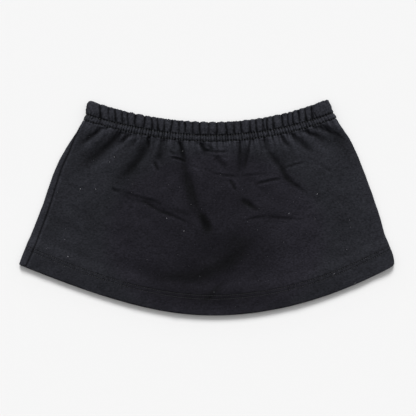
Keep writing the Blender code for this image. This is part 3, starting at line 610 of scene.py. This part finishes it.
def panel_relief(ring, girth, points, is_front):
    """Relief of a panel, from the waistband down to the hem, and its painted shade and highlight."""
    down = ring.down
    x = points[:, 0] if is_front else BACK_SHIFT - points[:, 0]
    y = points[:, 1]
    below_band = smooth_step(down, LOWER_ROW, LOWER_ROW + BAND_FADE)
    cores = FOLD_CORE * fold_rise(x, y, CORE_WIDTH)
    relief = slit_relief(down, x) + (wrinkle_relief(x, y) + cores) * below_band
    relief += pucker_height(ring, girth) * math.exp(-(down - PANEL_TOP) / PUCKER_FADE)
    gathers = puff_height(ring, girth, GATHER_EDGES, GATHER_SIZES, 1.2)
    relief += gathers * GATHER_HEIGHT * hump(down - PANEL_TOP, GATHER_FADE)
    relief += groove(down - PANEL_TOP, LOWER_ROW_DEPTH, ROW_WIDTH)
    for row in HEM_ROWS:
        relief += groove(LENGTH - down - row, HEM_ROW_DEPTH, HEM_ROW_WIDTH)
    relief += seam_roll(ring, girth) + hem_ripple(down, x)
    # Painted shade in troughs, folds, the hem and its stitch rows; painted highlight on raised cloth and
    # seam.
    worn = painted_relief_shade(FINE_RELIEF_SHADE * relief + FOLD_RELIEF_SHADE * fold_rise(x, y) * below_band)
    worn *= 1 + UNDER_ROW_PALER * hump(down - UNDER_ROW_PALER_DOWN, UNDER_ROW_PALER_REACH)
    worn *= seam_highlight(ring, girth) * (1 + groove(LENGTH - down, HEM_SHADE, HEM_SHADE_REACH))
    for row, shade in zip(HEM_ROWS, HEM_ROW_SHADE):
        worn *= 1 + groove(LENGTH - down - row, shade, HEM_ROW_WIDTH)
    swell = EDGE_SWELL + (1 - EDGE_SWELL) * np.abs(ring.surface(girth)[1][:, 2])
    for waves in PANEL_WAVES:
        relief += wave_height(waves, x, y) * swell
    return kept_above(relief), worn


# One row of points round the cloth, the share of the row at each of them, how far along the cloth it
# is, which is the same for two rows that face each other, and the painted shade and highlight on it.
Row = namedtuple("Row", "points shares place worn")


def make_row(ring, girth, place, depth, towards_waist=0.0, worn=1.0):
    """A row of points at a depth under the outer surface, moved towards the waist edge."""
    points, normal, up = ring.surface(girth)
    depth = np.broadcast_to(depth, girth.shape)
    points = points - normal * depth[:, None] + up * (towards_waist - corner_drop(ring, girth))[:, None]
    points[:, 2] = np.maximum(points[:, 2], FLOOR_GAP)
    shares = (girth - girth[0]) / (girth[-1] - girth[0])
    return Row(points, shares, place, np.broadcast_to(worn, girth.shape))


def zip_rows(faces, first, first_shares, second, second_shares):
    """Faces between two rows of vertices, which may have unlike numbers of points."""
    if len(first) == len(second):
        faces.extend(zip(first, first[1:], second[1:], second))
        return
    left = 0
    right = 0
    while left < len(first) - 1 or right < len(second) - 1:
        take_first = right == len(second) - 1
        if not take_first and left < len(first) - 1:
            take_first = first_shares[left + 1] <= second_shares[right + 1] + 1e-9
        if take_first:
            faces.append((first[left], first[left + 1], second[right]))
            left += 1
        else:
            faces.append((first[left], second[right + 1], second[right]))
            right += 1


def add_object(name, data):
    """An object in the scene, from its mesh, light or camera."""
    item = bpy.data.objects.new(name, data)
    bpy.context.scene.collection.objects.link(item)
    return item


def link(name, mesh, material):
    """An object of the skirt from a mesh in millimetres, riding on the part's one body."""
    mesh.transform(Matrix.Scale(MM, 4))
    mesh.validate()
    mesh.shade_smooth()
    mesh.set_sharp_from_angle(angle=math.radians(60))
    mesh.materials.append(material)
    piece = add_object(name, mesh)
    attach(piece, "root")
    return piece


def patch_shade_of(x, y):
    """How bright each place is, from the soft patches of painted shade and broad tone."""
    shade = np.ones_like(x)
    for patch in SHADE_PATCHES:
        shade *= 1 - patch_at(patch, x, y)
    return shade


def cloth_wall(name, outside, inside, material):
    """A wall of cloth between rows on its outside and on its inside, closed all round.

    Both lists run the same way along the cloth, and each row runs round the skirt by its girth.
    """
    vertices = []
    sides = []
    for rows in (outside, inside):
        side = []
        for row in rows:
            side.append((range(len(vertices), len(vertices) + len(row.points)), row.shares))
            vertices.extend(row.points.tolist())
        sides.append(side)
    outer, inner = sides
    strips = [*zip(outer[1:], outer), *zip(inner, inner[1:]), (outer[0], inner[0]), (inner[-1], outer[-1])]
    outer_places = [row.place for row in outside]
    inner_places = [row.place for row in inside]
    for end in (0, -1):
        outer_edge = ([numbers[end] for numbers, _ in outer], outer_places)
        inner_edge = ([numbers[end] for numbers, _ in inner], inner_places)
        strips.append((outer_edge, inner_edge) if end else (inner_edge, outer_edge))
    faces = []
    for first, second in strips:
        zip_rows(faces, *first, *second)
    mesh = bpy.data.meshes.new(name)
    mesh.from_pydata(vertices, [], faces)
    x, y, _ = np.array(vertices).T
    # The shade attribute: painted shade and highlight from the patches and from the relief.
    worn = np.concatenate([row.worn for row in outside + inside])
    for label, values in (("shade", patch_shade_of(x, y) * worn), ("coolness", coolness_of(x, y))):
        attribute = mesh.attributes.new(label, "FLOAT", "POINT")
        attribute.data.foreach_set("value", values.astype(np.float32))
    return link(name, mesh, material)


def coolness_of(x, y):
    """How blue the black is at each place: 1 at the sides of the skirt and 0 in its middle."""
    reach = np.hypot((x - 12.0) / 148.0, (y + 40.0) / 116.0)
    return smooth_step(reach, 0.86, 1.08)


def seam_range(ring, is_front):
    """Girth of a front or back piece at one section, from seam to seam."""
    start = ring.seam if is_front else ring.seam - ring.over
    return start + SEAM_GAP / 2, start + ring.over - SEAM_GAP / 2


SEAM_COLUMNS = (0.25, 0.3, 0.4, 0.5, 0.6, 0.7)  # gaps between columns beside a seam
FOLD_COLUMNS = SEAM_COLUMNS + (0.8,) * 30  # and beside a seam and the side fold next to it
PANEL_COUNTS = {True: 372, False: 190}  # even columns of the front panel, and the back
BAND_COUNTS = {True: 470, False: 300}
LINING_COUNT = 60  # columns on the inside of the waistband
INNER_COUNTS = {True: 200, False: 60}  # and of the front panel, and the back
INNER_STEP = 6.0  # between the rows there


def stepped(start, *stages):
    """Numbers from a start through each stage's end, about that stage's step apart."""
    downs = [start]
    for end, step in stages:
        count = max(1, round((end - downs[-1]) / step))
        downs.extend(np.linspace(downs[-1], end, count + 1)[1:])
    return downs


# Where the outside rows of a panel and of the waistband are.
PANEL_DOWNS = stepped(
    PANEL_TOP, (PANEL_TOP + 3.2, 0.4), (62.0, 0.85), (LENGTH - HEM_ROWS[1] - 2.0, 1.45),
    (LENGTH - HEM_ROWS[0] + 2.0, 0.36), (HEM_EDGE, 1.2),
)
BAND_DOWNS = stepped(
    BAND_FOLD, (UPPER_ROW - 2.0, 0.8), (UPPER_ROW + 2.0, 0.33), (LOWER_ROW - 2.0, 0.5), (LOWER_ROW, 0.33)
)


def columns(ring, is_front, count, last_gaps):
    """Girths of a piece's columns at one section: closely spaced at both ends, and evenly between."""
    start, end = seam_range(ring, is_front)
    near = start + np.cumsum((0.0,) + SEAM_COLUMNS)
    far = end - np.cumsum((0.0,) + last_gaps)[::-1]
    return np.concatenate((near, np.linspace(near[-1], far[0], count)[1:-1], far))


def plain_row(down, spread, place, depth):
    """A row at a depth under the outer surface, with its columns spread as given."""
    ring = Ring(down)
    return make_row(ring, columns(ring, *spread), place, depth)


def outer_row(down, spread, relief_of):
    """A row of a piece's outer surface."""
    ring = Ring(down)
    girth = columns(ring, *spread)
    relief, worn = relief_of(ring, girth, ring.surface(girth)[0], spread[0])
    return make_row(ring, girth, down, -relief, worn=worn)


def make_panel(name, is_front, material):
    """The front or back panel, from the waistband down, with its hem turned up inside."""
    outer = (is_front, PANEL_COUNTS[is_front], FOLD_COLUMNS)
    inner = (is_front, INNER_COUNTS[is_front], FOLD_COLUMNS)
    outside = [outer_row(down, outer, panel_relief) for down in PANEL_DOWNS]
    downs = stepped(PANEL_TOP, (LENGTH - TURN_UP, INNER_STEP)) + [HEM_EDGE]
    inside = [plain_row(down, inner, down, CLOTH) for down in downs]
    edge = Ring(HEM_EDGE)
    for rows, spread, depth, turns in ((outside, outer, 0.0, 8), (inside, inner, CLOTH, 2)):
        girth = columns(edge, *spread)
        reach = HEM_FOLD - depth
        # Rows round the hem's fold carry its painted shade.
        for angle in np.arange(1, turns) * math.pi / turns:
            place = HEM_EDGE + angle * HEM_FOLD
            below = HEM_FOLD - reach * math.cos(angle)
            rows.append(make_row(edge, girth, place, below, -reach * math.sin(angle), 1 - HEM_SHADE))
        for down in (HEM_EDGE, LENGTH - TURN_UP):
            place = HEM_EDGE + math.pi * HEM_FOLD + HEM_EDGE - down
            rows.append(plain_row(down, spread, place, HEM - depth))
    return cloth_wall(name, outside, inside, material)


def make_waistband(name, is_front, material):
    """Half of the casing: cloth folded over the elastic, gathered into puffs between its creases."""
    outside = []
    inside = []
    outer = (is_front, BAND_COUNTS[is_front], SEAM_COLUMNS)
    inner = (is_front, LINING_COUNT, SEAM_COLUMNS)
    top = Ring(BAND_FOLD)
    for rows, spread, depth, turns in ((outside, outer, 0.0, 12), (inside, inner, CLOTH, 4)):
        for down in (LOWER_ROW, UPPER_ROW):
            place = BAND_FOLD - math.pi * BAND_FOLD - down
            rows.append(plain_row(down, spread, place, BAND - depth))
        girth = columns(top, *spread)
        relief, worn = band_relief(top, girth, top.surface(girth)[0], is_front, PUFF_AT_FOLD)
        for angle in np.arange(turns, 0, -1) * math.pi / turns:
            reach = BAND_FOLD - depth
            if depth == 0.0:
                reach = reach + relief * math.cos(angle / 2)
            below = BAND_FOLD - reach * math.cos(angle)
            rows.append(make_row(top, girth, -angle * BAND_FOLD, below, reach * math.sin(angle), worn))
    outside.extend(outer_row(down, outer, band_relief) for down in BAND_DOWNS)
    inside.extend(plain_row(down, inner, down, CLOTH) for down in (BAND_FOLD, UPPER_ROW, LOWER_ROW))
    return cloth_wall(name, outside, inside, material)


def ring_points(middle, aside, normal, radius, count):
    """Points round the middle of a thread."""
    turns = [2 * math.pi * side / count for side in range(count)]
    return [middle + (aside * math.cos(turn) + normal * math.sin(turn)) * radius for turn in turns]


def thread_mesh(name, threads, material):
    """A piece of short threads, each a closed tube through its rings of points."""
    vertices = []
    faces = []
    for rings in threads:
        base = len(vertices)
        count = len(rings[0])
        sides = range(count)
        for ring in rings:
            vertices.extend(point.tolist() for point in ring)
        last = base + (len(rings) - 1) * count
        for first in range(base, last, count):
            for side in sides:
                after = (side + 1) % count
                second = first + count
                faces.append((first + side, first + after, second + after, second + side))
        faces.append(tuple(base + side for side in reversed(sides)))
        faces.append(tuple(last + side for side in sides))
    mesh = bpy.data.meshes.new(name)
    mesh.from_pydata(vertices, [], faces)
    return link(name, mesh, material)


def waist_girths(ring, is_front):
    """Girths of the waistband's stitches: one in each pucker between the seams."""
    start, end = seam_range(ring, is_front)
    middles = (PUCKER_EDGES[:-1] + PUCKER_EDGES[1:]) / 2
    girths = np.concatenate((middles - 1.0, middles)) * 2 * ring.over
    return girths[(girths > start + 1.0) & (girths < end - 1.0)]


def hem_girths(ring, is_front):
    """Girths of the stitches of the hem."""
    start, end = seam_range(ring, is_front)
    return np.arange(start + 1.5, end - 1.5, HEM_STITCH)


# The two pairs of stitch rows: where they are, the girths of their stitches, the relief under them,
# how far they stand off it, a stitch's length and radius, and the least height of its middle.
Stitching = namedtuple("Stitching", "downs girths relief lift length radius least")
HEM_STITCH = 3.0  # one hem stitch and the gap after it
STITCHINGS = {
    "waist": Stitching((UPPER_ROW, LOWER_ROW - 0.3), waist_girths, band_relief, 0.05, 2.5, 0.26, 0.35),
    "hem": Stitching([LENGTH - row for row in HEM_ROWS], hem_girths, panel_relief, 0.06, 2.3, 0.22, 0.3),
}
STITCH_SIDES = 6
# Share of the length, and of the radius.
STITCH_SHAPE = ((-0.5, 0.25), (-0.36, 0.8), (0.0, 1.0), (0.36, 0.8), (0.5, 0.25))


def make_stitches(name, stitching, is_front, material):
    """Two rows of stitches, each stitch a small spindle on the cloth."""
    threads = []
    for down in stitching.downs:
        ring = Ring(down)
        girths = stitching.girths(ring, is_front)
        points, normals, _ = ring.surface(girths)
        relief, _ = stitching.relief(ring, girths, points, is_front)
        centres = points + normals * (relief + stitching.lift)[:, None]
        centres[:, 2] = np.maximum(centres[:, 2], stitching.least)
        tangents = ring.surface(girths + 0.5)[0] - points
        tangents = tangents / np.linalg.norm(tangents, axis=1)[:, None]
        for centre, tangent, normal in zip(centres, tangents, normals):
            aside = np.cross(tangent, normal)
            rings = []
            for share, thick in STITCH_SHAPE:
                middle = centre + tangent * stitching.length * share
                rings.append(ring_points(middle, aside, normal, stitching.radius * thick, STITCH_SIDES))
            threads.append(rings)
    return thread_mesh(name, threads, material)


# Lint on the front. Each turn is in degrees.
Speck = namedtuple("Speck", "x y length turn")
SPECKS = [Speck(*row) for row in (
    (-127.5, 60.5, 1.4, 30), (-121.5, 67, 1.2, 100), (-31.5, 75, 1.3, 60), (-183, -64, 1.2, 10),
    (-166.5, 25, 2.6, 40), (-146.5, 25, 1, 120), (-53, -13.5, 1.1, 75), (-30, -30.5, 1, 20),
    (-20.5, 5, 1, 150), (146, 18.5, 1.5, 80), (168, -87, 1.3, 15), (195.5, -99, 1.4, 70),
    (108.5, -7.5, 1, 45),
)]
DUST_COUNT = 70  # fine fibres scattered over the front
DUST_LENGTH = (0.5, 1.3)
LINT_RADIUS = 0.2
DUST_RADIUS = 0.05
LINT_SIDES = 5  # sides of a fibre, and rings along it


def front_place(x, y):
    """Point and normal of the front's outer surface under a place seen from above."""
    low = PANEL_TOP
    high = HEM_EDGE
    for _ in range(30):
        down = (low + high) / 2
        line_x, line_y, _ = section_line(down)
        if np.interp(x, line_x, line_y) > y:
            low = down
        else:
            high = down
    ring = Ring(down)
    girth = np.array([float(ring.girth_at(x))])
    points, normal, _ = ring.surface(girth)
    relief, _ = panel_relief(ring, girth, points, True)
    return (points + normal * relief[:, None])[0], normal[0]


def make_lint(name, material):
    """Specks of lint and fine fibres on the front, each a short curved thread."""
    rng = np.random.default_rng(31)
    fibres = [(*speck, LINT_RADIUS) for speck in SPECKS]
    while len(fibres) < len(SPECKS) + DUST_COUNT:
        down = rng.uniform(40.0, 245.0)
        line_x, line_y, _ = section_line(down)
        x = rng.uniform(line_x[0] + 12.0, line_x[-1] - 12.0)
        fibres.append((x, float(np.interp(x, line_x, line_y)), rng.uniform(*DUST_LENGTH),
                       rng.uniform(0.0, 180.0), DUST_RADIUS * rng.uniform(0.6, 1.3)))
    threads = []
    for x, y, length, turn, radius in fibres:
        centre, normal = front_place(x, y)
        bow = rng.uniform(-0.5, 0.5)
        rings = []
        for share in np.linspace(-0.5, 0.5, LINT_SIDES):
            angle = math.radians(turn) + bow * share * 2
            along = np.array((math.cos(angle), math.sin(angle), 0.0))
            middle = centre + along * length * share + normal * (radius * 0.7 + 0.15)
            thick = radius * (1.0 - 1.2 * abs(share))
            rings.append(ring_points(middle, np.cross(normal, along), normal, thick, LINT_SIDES))
        threads.append(rings)
    return thread_mesh(name, threads, material)


def add_node(tree, kind, output, inputs, **settings):
    """The output of a new node, with its inputs and settings given by name."""
    node = tree.nodes.new("ShaderNode" + kind)
    for name, value in settings.items():
        setattr(node, name, value)
    for name, value in inputs.items():
        put(tree, node.inputs[name], value)
    return node.outputs[output]


def put(tree, socket, value):
    """A number, a colour or another node's output into a socket."""
    if isinstance(value, bpy.types.NodeSocket):
        tree.links.new(value, socket)
    else:
        socket.default_value = value


class Shading:
    """A material's node tree, with short ways to add its nodes. Sizes are in millimetres."""

    def __init__(self, name, roughness, specular):
        self.material = bpy.data.materials.new(name)
        self.material.use_nodes = True
        self.tree = self.material.node_tree
        self.inputs = self.tree.nodes["Principled BSDF"].inputs
        self.inputs["Roughness"].default_value = roughness
        self.inputs["Specular IOR Level"].default_value = specular
        self.place = self.add("TexCoord", "Object", {})

    def add(self, kind, output, inputs, **settings):
        return add_node(self.tree, kind, output, inputs, **settings)

    def math(self, operation, first, second):
        return self.add("Math", 0, {0: first, 1: second}, operation=operation)

    def span(self, value, *limits):
        """A value mapped from its two first limits onto its two last."""
        names = ("From Min", "From Max", "To Min", "To Max")
        return self.add("MapRange", "Result", {"Value": value, **dict(zip(names, limits))})

    def noise(self, size, detail=2.0, roughness=0.5, stretch=(1.0, 1.0, 1.0)):
        """Noise whose blotches are about a size across."""
        place = self.add("Mapping", "Vector", {"Vector": self.place, "Scale": stretch})
        scale = 1.0 / (size * MM)
        inputs = {"Vector": place, "Scale": scale, "Detail": detail, "Roughness": roughness}
        return self.add("TexNoise", "Fac", inputs)

    def bands(self, pitch, direction):
        """Sine bands across a direction, a pitch apart."""
        inputs = {"Vector": self.place, "Scale": 2 * math.pi / (20.0 * pitch * MM), "Distortion": 1.2}
        inputs.update({"Detail": 1.0, "Detail Scale": 0.6})
        return self.add("TexWave", "Fac", inputs, bands_direction=direction)

    def attribute(self, name):
        return self.add("Attribute", "Fac", {}, attribute_name=name)

    def mix(self, share, first, second, blend="MIX"):
        inputs = {"Factor": share, 6: first, 7: second}
        return self.add("Mix", 2, inputs, data_type="RGBA", blend_type=blend)

    def colour(self, base, level):
        """A base colour, brighter or darker by a level."""
        grey = self.add("CombineColor", "Color", dict.fromkeys(("Red", "Green", "Blue"), level))
        put(self.tree, self.inputs["Base Color"], self.mix(1.0, base, grey, "MULTIPLY"))

    def bump(self, height, distance, strength):
        inputs = {"Height": height, "Distance": distance * MM, "Strength": strength}
        put(self.tree, self.inputs["Normal"], self.add("Bump", "Normal", inputs))

    def sheen(self, weight, roughness, tint):
        self.inputs["Sheen Weight"].default_value = weight
        self.inputs["Sheen Roughness"].default_value = roughness
        self.inputs["Sheen Tint"].default_value = tint


COOL_BLACK = (0.0149, 0.0154, 0.0190, 1.0)
WARM_BLACK = (0.0155, 0.0147, 0.0197, 1.0)
# Hue of the cloth in its deepest painted shade.
DEEP_BLACK = (0.0151, 0.0152, 0.0180, 1.0)
WALE = 0.95  # pitch of the knit's ribs, in millimetres
COURSE = 0.75  # and of its rows


def knit_material(name):
    """Brushed black sweatshirt knit: fine ribs and rows, a soft nap, pale fibre ends, uneven depth."""
    shading = Shading(name, 0.9, 0.06)
    # The shade attribute scales the colour with painted shade and highlight; its darkest turns DEEP_BLACK.
    shade = shading.attribute("shade")
    warm = shading.mix(shading.span(shade, 0.25, 0.50, 1.0, 0.0), WARM_BLACK, DEEP_BLACK)
    colour = shading.mix(shading.attribute("coolness"), warm, COOL_BLACK)
    blotch = shading.span(shading.noise(38.0, 3.0), 0.3, 0.7, 0.90, 1.10)
    grain = shading.span(shading.noise(1.7, 2.0, 0.6, (0.6, 1.0, 1.0)), 0.28, 0.72, 0.55, 1.45)
    fine = shading.span(shading.noise(0.6, 1.0), 0.3, 0.7, 0.8, 1.2)
    level = shading.math("MULTIPLY", shading.math("MULTIPLY", blotch, grain), fine)
    level = shading.math("MULTIPLY", level, shade)
    fibres = shading.span(shading.noise(0.9, 1.0, 0.5, (1.0, 0.4, 1.0)), 0.70, 0.80, 0.0, 1.2)
    level = shading.math("ADD", level, fibres)
    shading.colour(colour, level)
    ribs = shading.math("MULTIPLY", shading.bands(WALE, "X"), 0.5)
    rows = shading.math("MULTIPLY", shading.bands(COURSE, "Y"), 0.25)
    fuzz = shading.math("MULTIPLY", shading.noise(0.7, 3.0, 0.7), 0.9)
    height = shading.math("ADD", shading.math("ADD", ribs, rows), fuzz)
    shading.bump(height, 0.22, 0.55)
    shading.sheen(0.03, 0.45, (0.82, 0.88, 1.0, 1.0))
    return shading.material


def thread_material(name):
    """Black spun thread, with a fine twist and a slight sheen."""
    shading = Shading(name, 0.6, 0.4)
    twist = shading.span(shading.noise(0.35, 2.0), 0.3, 0.7, 0.7, 1.3)
    shading.colour((0.010, 0.0105, 0.013, 1.0), twist)
    shading.bump(shading.noise(0.3, 2.0), 0.06, 0.5)
    shading.sheen(0.2, 0.4, (0.9, 0.92, 1.0, 1.0))
    return shading.material


def elastic_material(name):
    """Black woven elastic: close ribs across its width."""
    shading = Shading(name, 0.75, 0.35)
    ribs = shading.bands(1.2, "X")
    shading.colour((0.018, 0.018, 0.02, 1.0), shading.span(ribs, 0.0, 1.0, 0.75, 1.25))
    shading.bump(shading.math("ADD", ribs, shading.noise(0.4, 2.0)), 0.25, 0.6)
    return shading.material


def lint_material(name):
    """Pale cotton lint."""
    shading = Shading(name, 0.95, 0.2)
    shading.colour((0.42, 0.42, 0.44, 1.0), shading.span(shading.noise(0.5), 0.3, 0.7, 0.75, 1.2))
    return shading.material


FLOOR_COLOUR = (0.765, 0.765, 0.765, 1.0)
FLOOR_HALF = 8.0  # metres
SUN_ELEVATION = 36.5
SUN_SIDE = 0.0  # degrees that the key light stands to the right of the waist
SUN_STRENGTH = 3.36
SUN_ANGLE = 22.0
SKY_TOWARDS = (0.0, 0.80, 0.60)
SKY_DARK = 0.09
SKY_BRIGHT = 0.95


def make_stage():
    """A plain pale floor."""
    bpy.ops.mesh.primitive_plane_add(size=2 * FLOOR_HALF, location=(0.0, 0.0, -0.0001))
    floor = bpy.context.object
    floor.name = "floor"
    shading = Shading("floor", 1.0, 0.0)
    shading.inputs["Base Color"].default_value = FLOOR_COLOUR
    floor.data.materials.append(shading.material)


def make_light():
    """Soft studio light: a broad key from beyond the waist, and a room that is brighter there."""
    light = bpy.data.lights.new("key", "SUN")
    light.energy = SUN_STRENGTH
    light.angle = math.radians(SUN_ANGLE)
    key = add_object("key", light)
    key.rotation_euler = (math.radians(-(90.0 - SUN_ELEVATION)), 0.0, math.radians(-SUN_SIDE))

    world = bpy.data.worlds.new("room")
    bpy.context.scene.world = world
    world.use_nodes = True
    tree = world.node_tree
    way = add_node(tree, "TexCoord", "Generated", {})
    rise = add_node(tree, "VectorMath", "Value", {0: way, 1: SKY_TOWARDS}, operation="DOT_PRODUCT")
    inputs = {"Value": rise, "From Min": -0.3, "From Max": 1.0, "To Min": SKY_DARK, "To Max": SKY_BRIGHT}
    sky = add_node(tree, "MapRange", "Result", inputs, interpolation_type="SMOOTHSTEP")
    put(tree, tree.nodes["Background"].inputs["Color"], sky)


def make_camera():
    """The photo's view: straight down, with the waist at the top of the picture."""
    across = PHOTO_PIXELS * PHOTO_MM
    data = bpy.data.cameras.new("camera")
    data.lens = LENS
    data.sensor_width = SENSOR
    data.clip_end = 100.0
    camera = add_object("camera", data)
    distance = across * LENS / SENSOR + OUTLINE_HEIGHT
    x = (PHOTO_PIXELS / 2 - ORIGIN_PX) * PHOTO_MM
    y = (ORIGIN_PY - PHOTO_PIXELS / 2) * PHOTO_MM
    camera.location = (x * MM, y * MM, distance * MM)
    bpy.context.scene.camera = camera


def make_skirt():
    """Every piece of the skirt, with the solids that each one stands for."""
    knit = knit_material("knit")
    thread = thread_material("thread")
    solids = ("front_panel", "back_panel", "waistband_front", "waistband_back")
    names = ("front_cloth", "back_cloth", "waistband_front_cloth", "waistband_back_cloth")
    makers = (make_panel, make_panel, make_waistband, make_waistband)
    cloths = [make(name, "front" in name, knit) for make, name in zip(makers, names)]
    for piece, solid in zip(cloths, solids):
        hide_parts(solid)
    for side in ("front", "back"):
        for place, stitching in STITCHINGS.items():
            name = f"{place}_stitches_{side}"
            make_stitches(name, stitching, side == "front", thread)
    lint = make_lint("lint", lint_material("lint"))
    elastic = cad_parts["waist_elastic"]
    elastic.data.materials.clear()
    elastic.data.materials.append(elastic_material("elastic"))


bpy.context.scene.view_settings.view_transform = "Standard"
make_camera()
make_light()
make_stage()
make_skirt()
